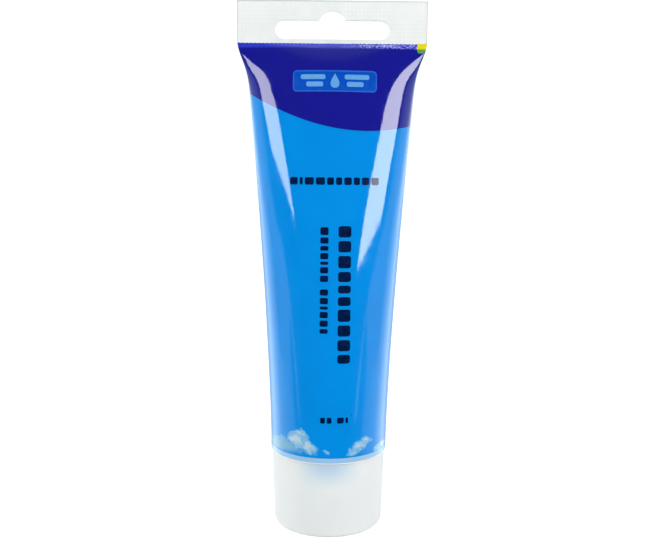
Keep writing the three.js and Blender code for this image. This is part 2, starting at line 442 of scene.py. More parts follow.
def film_over_paint():
    """Clear glossy film with the blue paint right behind it, and the indigo band printed on it."""
    look = Look("film_over_paint")
    level = look.axis("Z")
    paint = add_rim(look, add_voids(look, specked_paint(look)), level)
    band = look.ramp(look.attribute("band_mm"), -0.06, 0.06)
    fibre = look.noise(0.8, place=look.stretched(1, 1, 0.02))
    mottle = look.noise(2.4, detail=3)
    look.set(
        Base_Color=look.blend(band, paint, band_ink(look, level)),
        Roughness=look.ramp(mottle, 0.3, 0.7, 0.045, 0.085),
        IOR=1.5,
        Specular_IOR_Level=1,
        Normal=look.bump(mottle, 0.006, look.bump(fibre, 0.004)),
    )
    return look.material


def crimp_film():
    """The two walls welded together: milky and hazy, with painted grey shade along the cut edges."""
    look = Look("crimp_film")
    haze = look.noise(5, detail=3)
    milky = look.blend(look.ramp(haze, 0.3, 0.7), linear(245, 245, 243), linear(250, 250, 249))
    # Painted shade: grey along the cut edges, where the clear film's edges darken by refraction.
    from_side = look.maths("SUBTRACT", CRIMP_HALF_WIDTH, look.maths("ABSOLUTE", look.axis("X")))
    from_top = look.maths("SUBTRACT", SLEEVE_HIGH.z, look.axis("Z"))
    painted_edge_shade = look.ramp(look.maths("MINIMUM", from_side, from_top), 0.35, 0.1)
    look.set(
        Base_Color=look.blend(painted_edge_shade, milky, linear(196, 197, 196)),
        Roughness=look.ramp(look.noise(1.5, detail=3), 0.3, 0.7, 0.28, 0.4),
        IOR=1.5,
        Transmission_Weight=0.3,
        Normal=look.bump(look.noise(0.4), 0.01),
    )
    return look.material


def frosted_plastic():
    """Natural frosted polypropylene, with a painted bluish glow on its front and back where the
    paint-filled neck would show through.
    """
    look = Look("frosted_plastic")
    flow = look.noise(9, place=look.stretched(1, 1, 0.25))
    plastic = look.blend(look.ramp(flow, 0.35, 0.65), linear(244, 250, 248), linear(248, 252, 250))
    # Painted glow: the blue neck seen through the frosted wall is painted into the cap's colour, on its
    # front and back.
    near_neck = look.ramp(look.maths("ABSOLUTE", look.axis("X")), 12, 1)
    painted_neck_glow = look.product(near_neck, look.ramp(look.axis("Z"), 13.5, 22))
    look.set(
        Base_Color=look.blend(painted_neck_glow, plastic, linear(196, 217, 243)),
        Roughness=look.ramp(look.noise(3, detail=3), 0.3, 0.7, 0.42, 0.52),
        IOR=1.49,
        Specular_IOR_Level=0.15,
        Transmission_Weight=0.12,
        Subsurface_Weight=1,
        Subsurface_Radius=(1, 1, 1),
        Subsurface_Scale=2 * MM,
        Normal=look.bump(look.noise(0.22), 0.008),
    )
    return look.material


def paint_filled_plastic():
    """The shoulder and neck: natural plastic that the paint behind it turns blue, paler at the tip."""
    look = Look("paint_filled_plastic")
    flow = look.noise(6)
    neck = look.blend(look.ramp(flow, 0.35, 0.65), linear(96, 168, 232), linear(112, 178, 236))
    tip = look.ramp(look.axis("Z"), NECK_TIP + 1.8, NECK_TIP + 0.6)
    look.set(
        Base_Color=look.blend(tip, neck, linear(196, 220, 242)),
        Roughness=look.ramp(look.noise(2, detail=3), 0.3, 0.7, 0.32, 0.45),
        IOR=1.52,
        Subsurface_Weight=0.3,
        Subsurface_Scale=1 * MM,
        Normal=look.bump(look.noise(0.3), 0.006),
    )
    return look.material


def flange_plastic():
    """The shoulder's outer flange, where there is no paint behind the plastic."""
    look = Look("flange_plastic")
    look.set(
        Base_Color=look.blend(look.noise(4), linear(248, 249, 249), linear(252, 252, 252)),
        Roughness=look.ramp(look.noise(2), 0.3, 0.7, 0.3, 0.4),
        IOR=1.5,
    )
    return look.material


def foam():
    """Closed-cell foam."""
    look = Look("closed_cell_foam")
    cells = look.cells(0.35)
    look.set(
        Base_Color=look.blend(look.ramp(cells, 0.2, 0.7), linear(232, 232, 226), linear(246, 246, 242)),
        Roughness=0.85,
        Normal=look.bump(cells, 0.05),
    )
    return look.material


def satin_foil():
    """Rolled aluminium foil, with its grain along Y."""
    look = Look("satin_foil")
    rolled = look.noise(0.5, detail=3, place=look.stretched(1, 0.08, 1))
    look.set(
        Base_Color=look.blend(rolled, linear(196, 199, 204), linear(212, 214, 218)),
        Metallic=1.0,
        Roughness=look.ramp(rolled, 0.3, 0.7, 0.24, 0.36),
        Normal=look.bump(look.noise(2.5), 0.05),
    )
    return look.material


def wet_paint():
    """The paint's own surface, glossy and stirred."""
    look = Look("wet_paint")
    swirl = look.noise(5, detail=3, roughness=0.6)
    look.set(
        Base_Color=look.blend(look.ramp(swirl, 0.3, 0.7), linear(0, 112, 208), linear(0, 130, 222)),
        Roughness=look.ramp(swirl, 0.3, 0.7, 0.18, 0.3),
        Coat_Weight=0.4,
        Normal=look.bump(swirl, 0.3),
    )
    return look.material


def ink(name, colour, faded):
    """Printed ink, a little uneven, almost as glossy as the film that it lies on."""
    look = Look(name)
    mottle = look.noise(1.2, detail=3)
    look.set(
        Base_Color=look.blend(look.ramp(mottle, 0.35, 0.7), colour, faded),
        Roughness=look.ramp(mottle, 0.3, 0.7, 0.1, 0.18),
        IOR=1.5,
        Normal=look.bump(mottle, 0.004),
    )
    return look.material


# ---------- the sleeve's changing section ----------

known_sections = {}  # sections already worked out, by distance below the seal


def half_width_at(below):
    """Half width of the filled sleeve, a distance below the seal."""
    to_round_end = max(0, 1 - below / FILLED_LENGTH)
    fold_spread = CRIMP_HALF_WIDTH - TUBE_RADIUS - FILL_SPREAD
    filled = FILL_SPREAD * to_round_end**FILL_TAPER
    return TUBE_RADIUS + filled + fold_spread * math.exp(-((below / FOLD_LENGTH) ** 2))


def quarter_outline(half_width, half_depth, pinch):
    """Length of one quarter of a section's outline."""
    steps = 48
    length = 0
    last = (half_width, 0)
    for i in range(1, steps + 1):
        angle = i / steps * math.pi / 2
        here = (half_width * math.cos(angle), half_depth * math.sin(angle) ** pinch)
        length += math.dist(last, here)
        last = here
    return length


def section_at(below):
    """Half width, half depth and pinch of the sleeve, a distance below the seal.

    The film doesn't stretch, so the depth of a full section follows from its width. The pinch is 1 for
    an oval and 2 for a lens with sharp side folds.
    """
    key = round(below, 4)
    if key not in known_sections:
        half_width = half_width_at(below)
        pinch = 1 + math.exp(-below / LENS_LENGTH)
        full, too_deep = 0, TUBE_RADIUS
        for _ in range(30):
            middle = (full + too_deep) / 2
            if quarter_outline(half_width, middle, pinch) < TUBE_RADIUS * math.pi / 2:
                full = middle
            else:
                too_deep = middle
        roll = SEAL_ROLL * (1 - math.exp(-below / SEAL_ROLL_LENGTH))
        wedge = CRIMP_HALF_THICKNESS + roll + WEDGE_SLOPE * below
        half_depth = max(CRIMP_HALF_THICKNESS, full * wedge / (full**4 + wedge**4) ** 0.25)
        known_sections[key] = (half_width, half_depth, pinch)
    return known_sections[key]


def sleeve_point(phi, z, inset=0.0):
    """A point on the sleeve. phi is the angle round it from the front, towards +X, in radians."""
    below = max(0, SEAL - z)
    half_width, half_depth, pinch = section_at(below)
    facing = math.cos(phi)
    size = abs(facing) if abs(facing) > 1e-9 else 0
    edge = 0
    if inset == 0:
        edge = min(CRIMP_HALF_THICKNESS * math.exp(-below / FOLD_EDGE_LENGTH), half_depth)
    ramp = min(1, size / EDGE_SINE)
    slab = edge * math.sqrt(1 - (1 - ramp) ** 2)
    bulge = (half_depth - inset - edge) * size**pinch
    side = -1 if facing > 0 else 1
    return Vector(((half_width - inset) * math.sin(phi), side * (slab + bulge), z))


def sleeve_normal(phi, z):
    step = 0.01
    across = sleeve_point(phi + step, z) - sleeve_point(phi - step, z)
    up = sleeve_point(phi, z + step) - sleeve_point(phi, z - step)
    return across.cross(up).normalized()


def film_dip(x, y, z):
    """How far the thin film dips at a point: broad, shallow waves that die away at both ends."""
    wave = noise.noise(Vector((x / 22, y / 22 + 5, z / 34)))
    ripple = noise.noise(Vector((x / 9 + 3, y / 9, z / 60)))
    fade = smoothstep(0, 6, SEAL - z) * smoothstep(0, 4, z - SLEEVE_LOW.z)
    return (0.05 * (1 + wave) + 0.012 * (1 + ripple)) * fade


def sleeve_ring(z, segments, inset=0.0):
    """One level ring of points round the sleeve, with the film's dips."""
    ring = []
    for i in range(segments):
        phi = 2 * math.pi * i / segments
        x, y, z = sleeve_point(phi, z, inset)
        dip = film_dip(x, y, z)
        ring.append((x - dip * math.sin(phi), y + dip * math.cos(phi), z))
    return ring


def spread(low, high, count, power=1.0):
    """Heights from low to high, closer together towards high when power is above 1."""
    return [low + (high - low) * (1 - (1 - i / count) ** power) for i in range(count + 1)]


# ---------- the sleeve ----------

BAND_HEIGHT = 120.9
VOIDS_TOP = 36  # there are no air pockets above this

# Outlines of the air pockets, as (degrees round from the front, height).
VOIDS = [
    [
        (-42, 28.7), (-40, 30.4), (-34, 31.7), (-28, 32.1), (-22.5, 31.7), (-21, 30),
        (-16, 28.2), (-10, 26.6), (-12, 25.4), (-20, 25.6), (-32, 26.9),
    ],
    [
        (19, 25.3), (25, 27.8), (29, 28.6), (39.5, 29.4), (46, 28.4),
        (40, 27.3), (34, 26.4), (28, 25.7), (22, 24.9),
    ],
    [(49.5, 24.8), (53.5, 26), (64, 26.6), (76, 26), (70, 24.6), (58, 24.3)],
    [(-4, 26.4), (-1.5, 26.5), (-1, 25.8), (-3, 25.7)],
]
FAINT_VOIDS = [
    [
        (-84, 27.2), (-70, 27), (-52, 29.2), (-42, 28.4), (-33, 27.2),
        (-26, 25.7), (-38, 25.1), (-53, 24.3), (-84, 24.5),
    ],
]


def band_height(phi):
    """Height of the indigo band's lower edge, a wave that closes round the back."""
    return BAND_HEIGHT - 0.55 * math.cos(phi) - 4.5 * math.sin(phi) - 2.6 * math.cos(2 * phi)


def depth_inside(outline, x, y):
    """Distance from (x, y) to the outline, positive inside."""
    inside = False
    nearest = math.inf
    for i, (bx, by) in enumerate(outline):
        ax, ay = outline[i - 1]
        if (ay > y) != (by > y) and x < ax + (y - ay) * (bx - ax) / (by - ay):
            inside = not inside
        along = ((x - ax) * (bx - ax) + (y - ay) * (by - ay)) / ((bx - ax) ** 2 + (by - ay) ** 2)
        along = min(1, max(0, along))
        nearest = min(nearest, math.dist((x, y), (ax + along * (bx - ax), ay + along * (by - ay))))
    return nearest if inside else -nearest


def mark_sleeve(mesh):
    """Writes how far each point lies inside the band and the air pockets, in millimetres."""
    far = -6.0
    arc = TUBE_RADIUS * math.pi / 180  # millimetres round the sleeve per degree
    patches = {
        "void_mm": [[(a * arc, z) for a, z in outline] for outline in VOIDS],
        "faint_mm": [[(a * arc, z) for a, z in outline] for outline in FAINT_VOIDS],
    }
    values = {name: [] for name in ("band_mm", *patches)}
    for vertex in mesh.vertices:
        x, y, z = vertex.co / MM
        half_width = section_at(round(max(0, SEAL - z), 1))[0]
        phi = math.asin(min(1, max(-1, x / half_width)))
        if y > 0:
            phi = math.pi - phi
        values["band_mm"].append(z - band_height(phi))
        along = math.degrees(phi) * arc
        for name, outlines in patches.items():
            depth = far
            if z < VOIDS_TOP and y < 0:
                depth = max(depth_inside(outline, along, z) for outline in outlines)
            values[name].append(max(far, depth))
    for name, numbers in values.items():
        layer = mesh.attributes.new(name, "FLOAT", "POINT")
        layer.data.foreach_set("value", numbers)


GRID_PITCH = 1.17
GRID_DEPTH = 0.07
CRIMP_EDGE = 0.12  # how much thinner the crimp is along its cut edges


def emboss(x, z):
    """Depth of the sealing jaws' square grid: cells pressed in, ridges left between them."""
    across = abs(math.sin(math.pi * x / GRID_PITCH))
    up = abs(math.sin(math.pi * (z - SEAL) / GRID_PITCH))
    cell = smoothstep(0.25, 0.8, across) * smoothstep(0.25, 0.8, up)
    from_side = smoothstep(0.1, 0.5, CRIMP_HALF_WIDTH - abs(x))
    from_top = smoothstep(0.1, 0.5, SLEEVE_HIGH.z - z)
    return GRID_DEPTH * cell * from_side * from_top


def crimp_slab(materials):
    """The flat welded tail, with the grid pressed into both faces."""
    columns, rows = 282, 64
    bottom = SEAL - 0.3
    points = []
    for side in (-1, 1):
        for row in range(rows + 1):
            z = bottom + (SLEEVE_HIGH.z - bottom) * row / rows
            for column in range(columns + 1):
                x = CRIMP_HALF_WIDTH * (2 * column / columns - 1)
                edge = CRIMP_EDGE if column in (0, columns) or row == rows else 0
                depth = CRIMP_HALF_THICKNESS - emboss(x, z) - edge
                points.append((x, side * depth, z))
    layer = (rows + 1) * (columns + 1)

    def index(side, row, column):
        return side * layer + row * (columns + 1) + column

    faces = []
    for row in range(rows):
        for column in range(columns):
            cell = [(row, column), (row, column + 1), (row + 1, column + 1), (row + 1, column)]
            faces.append(tuple(index(0, *corner) for corner in cell))
            faces.append(tuple(index(1, *corner) for corner in reversed(cell)))
    border = [(0, c) for c in range(columns)] + [(r, columns) for r in range(rows)]
    border += [(rows, c) for c in range(columns, 0, -1)] + [(r, 0) for r in range(rows, 0, -1)]
    for i, here in enumerate(border):
        following = border[(i + 1) % len(border)]
        faces.append((index(0, *following), index(0, *here), index(1, *here), index(1, *following)))
    return closed_piece("crimp_slab", points, faces, materials)


def arc_points(x, y, radius, start, end, steps):
    angles = [math.radians(start + (end - start) * i / steps) for i in range(steps + 1)]
    return [(x + radius * math.cos(a), y + radius * math.sin(a)) for a in angles]


def slot_cutter():
    """The round-ended hang slot with its dome, as one solid that passes through the crimp."""
    middle = SLOT_BOTTOM + SLOT_RADIUS
    slot_top = SLOT_BOTTOM + 2 * SLOT_RADIUS
    reach = SLOT_HALF_WIDTH - SLOT_RADIUS
    dome_middle = DOME_TOP - DOME_RADIUS
    dome_start = math.degrees(math.asin((slot_top - dome_middle) / DOME_RADIUS))
    outline = arc_points(reach, middle, SLOT_RADIUS, -90, 90, 24)
    outline += arc_points(0, dome_middle, DOME_RADIUS, dome_start, 180 - dome_start, 32)
    outline += arc_points(-reach, middle, SLOT_RADIUS, 90, 270, 24)
    rings = [[(x, y, z) for x, z in outline] for y in (-4, 4)]
    return closed_piece("slot_cutter", *loft(rings))


def moved_ring(ring, z, across=1, deep=1):
    """A ring at another height, scaled in X and in Y."""
    return [(x * across, y * deep, z) for x, y, _ in ring]


def sleeve_tube(materials):
    """The sleeve below the seal: a shell, open at the bottom, with its closed top sunk in the crimp."""
    segments = 256
    lower = spread(SLEEVE_LOW.z, VOIDS_TOP, 36)
    upper = spread(VOIDS_TOP, SEAL, 150, 1.3)[1:]
    outside = [sleeve_ring(z, segments) for z in lower + upper]
    rounded_foot = [
        moved_ring(outside[0], SLEEVE_LOW.z, 0.994, 0.994),
        moved_ring(outside[0], SLEEVE_LOW.z + 0.12),
    ]
    sunk_end = moved_ring(outside[-1], SEAL + 0.15, 0.985, 0.6)
    outside = [*rounded_foot, *outside[1:], sunk_end]
    hollow = spread(SLEEVE_LOW.z, SEAL - 1.2, 60, 1.4)
    inside = [sleeve_ring(z, segments, SLEEVE_WALL) for z in reversed(hollow)]
    outer_points, outer_faces = loft(outside, close_start=False)
    inner_points, inner_faces = loft(inside, close_end=False)
    shift = len(outer_points)
    faces = outer_faces + [tuple(i + shift for i in face) for face in inner_faces]
    last = shift + (len(inside) - 1) * segments
    for i in range(segments):
        j = (i + 1) % segments
        faces.append((last + i, last + j, j, i))
    return closed_piece("sleeve_film", outer_points + inner_points, faces, materials)


def make_sleeve():
    materials = [film_over_paint(), crimp_film()]
    sleeve = sleeve_tube(materials)
    combine(sleeve, crimp_slab(materials), "UNION")
    combine(sleeve, slot_cutter(), "DIFFERENCE")
    for face in sleeve.data.polygons:
        face.material_index = 1 if face.center.z / MM > SEAL else 0
    mark_sleeve(sleeve.data)
    return mount(sleeve, "tube", "clear_sleeve", "sleeve")


# ---------- the cap, the shoulder and the pieces inside ----------

# A turned profile is a list of (radius, height, size of the corner's rounding).


def make_cap():
    profile = softened([
        (0, RECESS_DEPTH, 0),
        (RECESS_RADIUS, RECESS_DEPTH, 0.2),
        (RECESS_RADIUS + RECESS_DEPTH, 0, 0.3),
        (CAP_BASE_RADIUS, 0, 1.5),
        (CAP_HIGH.x, CAP_HIGH.z, 0.35),
        (CAP_HIGH.x - CAP_WALL, CAP_HIGH.z, 0.3),
        (CAP_BASE_RADIUS - CAP_WALL, CAP_FLOOR, 1),
        (BOSS_OUTSIDE, CAP_FLOOR, 0.4),
        (BOSS_OUTSIDE, BOSS_TOP, 0.3),
        (BOSS_BORE, BOSS_TOP, 0.3),
        (BOSS_BORE, CAP_FLOOR, 0.3),
        (POST_OUTSIDE, CAP_FLOOR, 0.3),
        (POST_OUTSIDE, POST_TOP, 0.3),
        (POST_INSIDE, POST_TOP, 0.3),
        (POST_INSIDE, CAP_FLOOR, 0.3),
        (0, CAP_FLOOR, 0),
    ])
    cap = turned_piece("cap_shell", profile, 160, [frosted_plastic()])
    thread = thread_ridge("boss_thread", BOSS_BORE, -1, BOSS_THREAD_TOP, BOSS_THREAD_TURNS)
    combine(cap, thread, "UNION")
    return mount(cap, "cap", "frosted_cap", "cap")


def make_shoulder():
    """The nozzle, the cone and the rim, with a thin flange that covers the sleeve's bottom edge."""
    rim_radius = SHOULDER_HIGH.x
    cone_edge = rim_radius - SHOULDER_RIM_WIDTH
    flange_radius = TUBE_RADIUS - 0.1
    bottom = SLEEVE_LOW.z
    flange_top = bottom - 0.02
    inside_tip = NECK_TIP + TIP_THICKNESS
    profile = softened([
        (ORIFICE_RADIUS, NECK_TIP, 0.25),
        (NECK_RADIUS, NECK_TIP, 0.6),
        (NECK_RADIUS, NECK_TOP, 0.5),
        (NECK_RADIUS + 1, NECK_TOP + 0.8, 0.5),
        (cone_edge, bottom - 0.2, 0.3),
        (flange_radius, bottom - 0.24, 0.1),
        (flange_radius, flange_top, 0.05),
        (rim_radius, flange_top, 0),
        (rim_radius, SHOULDER_RIM_TOP, 0.3),
        (cone_edge, SHOULDER_RIM_TOP, 0.5),
        (NECK_BORE + 1, NECK_TOP + 2.1, 0.5),
        (NECK_BORE, NECK_TOP + 1.1, 0.5),
        (NECK_BORE, inside_tip, 0.4),
        (ORIFICE_RADIUS, inside_tip, 0.25),
    ], closed=True)
    shoulder = turned_piece("shoulder_neck", profile, 160, [paint_filled_plastic(), flange_plastic()])
    thread = thread_ridge("neck_thread", NECK_RADIUS, 1, NECK_THREAD_TOP, NECK_THREAD_TURNS)
    combine(shoulder, thread, "UNION")
    for face in shoulder.data.polygons:
        middle = face.center / MM
        on_flange = middle.z < bottom and middle.xy.length > cone_edge
        face.material_index = 1 if on_flange else 0
    return mount(shoulder, "tube", "shoulder_plastic", "shoulder")


def make_wad():
    """A foam disc, dented where the nozzle's rim has pressed it."""
    radius = WAD_HIGH.x
    bottom, top = WAD_LOW.z, WAD_HIGH.z
    dent = top - 0.12
    profile = softened([
        (0, bottom, 0),
        (radius, bottom, 0.3),
        (radius, top, 0.3),
        (NECK_RADIUS, top, 0.15),
        (NECK_RADIUS - 0.3, dent, 0.15),
        (NECK_RADIUS - 2.7, dent, 0.15),
        (NECK_RADIUS - 3.1, top, 0.15),
        (0, top, 0),
    ])
    wad = turned_piece("wad_disc", profile, 96, [foam()])
    return mount(wad, "liner", "foam_wad", "cap_liner")


def make_foil():
    """Foil bonded over the nozzle, pulled slightly in over the orifice."""
    radius = FOIL_HIGH.x
    bottom, top = FOIL_LOW.z, FOIL_HIGH.z
    flat_from = ORIFICE_RADIUS + 0.3
    dip_to = ORIFICE_RADIUS - 0.4
    profile = softened([
        (0, bottom + 0.08, 0),
        (dip_to, bottom + 0.08, 0.4),
        (flat_from, bottom, 0.4),
        (radius, bottom, 0.1),
        (radius, top, 0.1),
        (flat_from, top, 0.2),
        (dip_to, top - 0.02, 0.2),
        (0, top - 0.02, 0),
    ])
    foil = turned_piece("foil_disc", profile, 96, [satin_foil()])
    return mount(foil, "tube", "foil", "orifice_seal")


def make_paint():
    """The paint's body, from the nozzle up to its dished surface."""
    segments = 96
    inset = SLEEVE_WALL + 0.32
    surface = PAINT_HIGH.z - 0.4
    neck = [(2.4, PAINT_LOW.z), (2.45, 10.5), (4.25, 10.6), (4.25, 20.5), (5.4, 21.7), (15.2, 24.85)]
    profile = softened([(radius, z, 0.2) for radius, z in neck])
    rings = [circle(radius, z, segments) for radius, z in profile]
    # A circle starts at +X and a sleeve ring at the front, so the circles start a quarter turn earlier.
    quarter = segments // 4
    rings = [ring[-quarter:] + ring[:-quarter] for ring in rings]
    rings += [sleeve_ring(z, segments, inset) for z in spread(24.9, surface, 60)]
    brim = rings[-1]
    for scale, rise in ((0.985, 0.1), (0.95, -0.2), (0.85, -0.5), (0.6, -0.8), (0.3, -0.9)):
        rings.append(moved_ring(brim, surface + rise, scale, scale))
    fill = closed_piece("paint_fill", *loft(rings), [wet_paint()])
    return mount(fill, "tube", "blue_paint", "paint")


# ---------- the print ----------

PRINT_LIFT = 0.03  # how far ink stands above the film
PRINT_DEPTH = 0.05  # how far it goes into the film
PRINT_SLICE = 0.8  # flat shapes are cut into squares of this size before they are bent

PLAQUE = (-10.6, 128.1, 12.4, 133.5)  # left, bottom, right, top
PLAQUE_EDGE = 0.4
EMBLEM_MIDDLE = 0.9
WORD_GAP = 2.2  # extra gap between words, in gaps between blocks

# Relative widths of the blocks in each word.
SHADE_WORDS = [[1, 0.4, 1.2, 1.2, 0.9, 0.8, 1, 0.8, 1, 1]]
LARGE_WORDS = [[1, 1, 1.1, 0.9, 0.7, 0.8, 1.1, 1, 1, 0.8]]
SMALL_WORDS = [[1, 0.8, 0.6, 0.8, 0.4, 0.8, 0.8], [0.8, 0.8, 0.4, 0.8, 0.8, 0.6]]
VOLUME_WORDS = [[1, 1], [1.4, 0.5]]
NOTE_WORDS = [[3, 5, 2], [4, 3]]
NOTE_LENGTHS = (22, 19, 21, 14, 0, 20, 22, 12)
NOTE_PITCH = 3.4


def on_front(u, v):
    """The place u mm right of the centre and v mm up, as seen from the front: (phi, z)."""
    return math.asin(u / section_at(max(0, SEAL - v))[0]), v


def on_back(u, v):
    """The same as seen from behind."""
    phi, z = on_front(u, v)
    return math.pi + phi, z


def by_angle(u, v):
    """The place u degrees round from the front and v mm up."""
    return math.radians(u), v


def rounded_box(left, bottom, right, top, size):
    corners = [(left, bottom, size), (right, bottom, size), (right, top, size), (left, top, size)]
    return softened(corners, steps=4, closed=True)


def grown(box, margin):
    left, bottom, right, top = box
    return left - margin, bottom - margin, right + margin, top + margin


def sliced(outlines):
    """Flat faces in the shape of the outlines, cut along a grid so that they can be bent."""
    flat = bmesh.new()
    for outline in outlines:
        flat.faces.new([flat.verts.new((x, y, 0)) for x, y in outline])
    for axis, across in enumerate((Vector((1, 0, 0)), Vector((0, 1, 0)))):
        values = [vertex.co[axis] for vertex in flat.verts]
        cut = math.floor(min(values) / PRINT_SLICE) * PRINT_SLICE
        while cut < max(values):
            geometry = list(flat.verts) + list(flat.edges) + list(flat.faces)
            bmesh.ops.bisect_plane(flat, geom=geometry, plane_co=across * cut, plane_no=across)
            cut += PRINT_SLICE
    flat.verts.index_update()
    return flat


def printed(name, outlines, place, material, lift=PRINT_LIFT):
    """A thin closed layer of ink in the shape of flat outlines, laid on the sleeve."""
    flat = sliced(outlines)
    count = len(flat.verts)
    top, bottom = [], []
    for vertex in flat.verts:
        phi, z = place(vertex.co.x, vertex.co.y)
        normal = sleeve_normal(phi, z)
        level = sleeve_point(phi, z)
        surface = level - normal * film_dip(*level)
        top.append(surface + normal * lift)
        bottom.append(surface - normal * PRINT_DEPTH)
    faces = []
    for face in flat.faces:
        ring = [vertex.index for vertex in face.verts]
        faces.append(tuple(ring))
        faces.append(tuple(i + count for i in reversed(ring)))
    for edge in flat.edges:
        if len(edge.link_faces) == 1:
            a, b = (vertex.index for vertex in edge.verts)
            faces.append((a, b, b + count, a + count))
    flat.free()
    piece = closed_piece(name, top + bottom, faces, [material])
    return mount(piece, "tube", "clear_sleeve")


def block_line(start, end, low, high, words, gap, size, upright=False):
    """A line of plain blocks that stands for lettering, from start to end and from low to high."""
    widths = [width for word in words for width in word]
    gaps = gap * (len(widths) - 1) + gap * WORD_GAP * (len(words) - 1)
    unit = (abs(end - start) - gaps) / sum(widths)
    step = 1 if end > start else -1
    blocks = []
    along = start
    for word in words:
        for width in word:
            following = along + step * width * unit
            first, last = sorted((along, following))
            box = (low, first, high, last) if upright else (first, low, last, high)
            blocks.append(rounded_box(*box, size))
            along = following + step * gap
        along += step * gap * WORD_GAP
    return blocks


def droplet(x, y, height):
    """A plain paint drop: a round bottom drawn up to a point."""
    outline = []
    for i in range(40):
        t = 2 * math.pi * i / 40
        across = math.sin(t) * math.sin(t / 2) ** 1.5
        outline.append((x + height * 0.42 * across, y + height / 2 * math.cos(t)))
    return list(reversed(outline))


def emblem():
    """A droplet with two bars on each side."""
    outlines = [droplet(EMBLEM_MIDDLE, 130.9, 4.2)]
    for side in (-1, 1):
        for low, near, far in ((131.25, 2.7, 9.7), (129.15, 3.3, 8.1)):
            left, right = sorted((EMBLEM_MIDDLE + side * near, EMBLEM_MIDDLE + side * far))
            outlines.append(rounded_box(left, low, right, low + 1.4, 0.6))
    return outlines


def back_notes():
    """Lines of small print, with one line left empty between two paragraphs."""
    outlines = []
    for i, length in enumerate(NOTE_LENGTHS):
        if length:
            low = 88 - NOTE_PITCH * i
            outlines += block_line(-11, -11 + length, low, low + 1.1, NOTE_WORDS, 0.7, 0.25)
    return outlines


def make_print():
    navy = ink("navy_ink", NAVY, linear(0, 30, 76))
    plaque_blue = ink("plaque_blue_ink", linear(2, 71, 178), linear(3, 76, 183))
    pale = ink("pale_blue_ink", linear(92, 153, 210), linear(100, 159, 214))
    yellow = ink("yellow_ink", linear(219, 201, 17), linear(224, 208, 30))
    green = ink("green_ink", linear(85, 151, 52), linear(94, 158, 58))
    rim_blue = ink("plaque_rim_ink", linear(34, 92, 193), linear(42, 98, 198))

    edge = rounded_box(*grown(PLAQUE, PLAQUE_EDGE), 1.3)
    printed("print_plaque_edge", [edge], on_front, rim_blue, 0.02)
    printed("print_plaque", [rounded_box(*PLAQUE, 1)], on_front, plaque_blue, 0.035)
    printed("print_plaque_emblem", emblem(), on_front, pale, 0.05)

    lines = {
        "print_shade_line": block_line(-11.5, 13.6, 101.7, 103.8, SHADE_WORDS, 0.6, 0.5),
        "print_large_line": block_line(90.2, 51.5, 2.3, 5.9, LARGE_WORDS, 1, 0.8, upright=True),
        "print_small_line": block_line(89.9, 60, -2.8, -0.5, SMALL_WORDS, 0.65, 0.5, upright=True),
        "print_volume_line": block_line(-2.4, 5.5, 34.4, 36.1, VOLUME_WORDS, 0.5, 0.4),
    }
    for name, outlines in lines.items():
        printed(name, outlines, on_front, navy)
    printed("print_back_lines", back_notes(), on_back, navy)

    sight_mark = [(64, 140.9), (86, 140.9), (87, 142.5), (64, 142.5)]
    printed("print_sight_mark", [sight_mark], by_angle, yellow)
    overlap = [(67, 139.8), (75, 139.7), (82, 140.4), (84, 140.9), (64, 140.9)]
    side_line = [(84, 134), (86, 134), (86, 139), (83, 139)]
    printed("print_sight_mark_overlap", [overlap, side_line], by_angle, green)


# ---------- the studio ----------

CAMERA_PLACE = Vector((0, -0.2376, 0.10174))
CAMERA_TILT = 6.2
CAMERA_ROLL = 0.55
CAMERA_LENS = 43.6

FLOOR_HALF_SIZE = 3000
FLOOR_LEVEL = -0.05
FLOOR_GLOW = 0.85  # what the floor adds for the camera, so that it is as white as the backdrop

PANEL_COLOUR = (0.98, 0.97, 1, 1)
FILL_COLOUR = (0.95, 1, 0.98, 1)
WORLD_COLOUR = (0.88, 1, 0.98, 1)
BACKDROP_WHITE = 1.2  # strength of the world as the camera sees it

# The world's strength against how far a direction points to the back: -1 in front, 1 behind.
WORLD_STRENGTHS = [
    (-0.6, 0.0023),
    (-0.26, 0.08),
    (-0.17, 0.38),
    (0, 0.54),
    (0.17, 0.7),
    (0.34, 0.88),
    (0.55, 1.6),
    (0.8, 2.3),
    (1, 0.9),
]
WORLD_BRIGHTEST = 2.3

# Panels that light the tube and are mirrored in it: name, strength, and corners as (azimuth, elevation).
SOFTBOXES = [
    ("left_softbox", 4.9, [(-41, 4.3), (-50, 6), (-66, 7.5), (-72, 13), (-77, 62), (-71, 62), (-55, 24)]),
    ("right_softbox", 6, [(35, 0.3), (66, 1), (72, 9), (77, 60), (72, 60), (57, 32), (44, 12)]),
    ("left_glint", 0.35, [(-54, -17), (-58, -17), (-63, -6), (-60, -6)]),
    ("right_glint", 0.45, [(47, -17), (53, -17), (58, -6), (56, -6)]),
    ("left_table", 0.42, [(-74, -14), (-95, -14), (-95, -1), (-66, -1.2), (-61, -5.5), (-63, -8)]),
    ("right_table", 0.42, [(70, -14), (95, -14), (95, -1), (69, -1.4), (57, -4.8), (59, -8)]),
]

# Larger and further panels that light the tube without being mirrored in it.
FILLS = [
    ("front_fill", 1.02, [(-60, -14), (48, -14), (48, 45), (-60, 45)]),
    ("left_fill", 2.2, [(-120, -14), (-79, -14), (-79, 40), (-120, 40)]),
]
SOFTBOX_DISTANCE = 1
FILL_DISTANCE = 1.2


def make_camera():
    camera = bpy.data.cameras.new("camera")
    camera.lens = CAMERA_LENS
    camera.sensor_width = 36
    camera.clip_start = 0.01
    body = bpy.data.objects.new("camera", camera)
    bpy.context.scene.collection.objects.link(body)
    tilt = Matrix.Rotation(math.radians(90 - CAMERA_TILT), 4, "X")
    roll = Matrix.Rotation(math.radians(CAMERA_ROLL), 4, "Z")
    body.matrix_world = Matrix.Translation(CAMERA_PLACE) @ tilt @ roll
    bpy.context.scene.camera = body


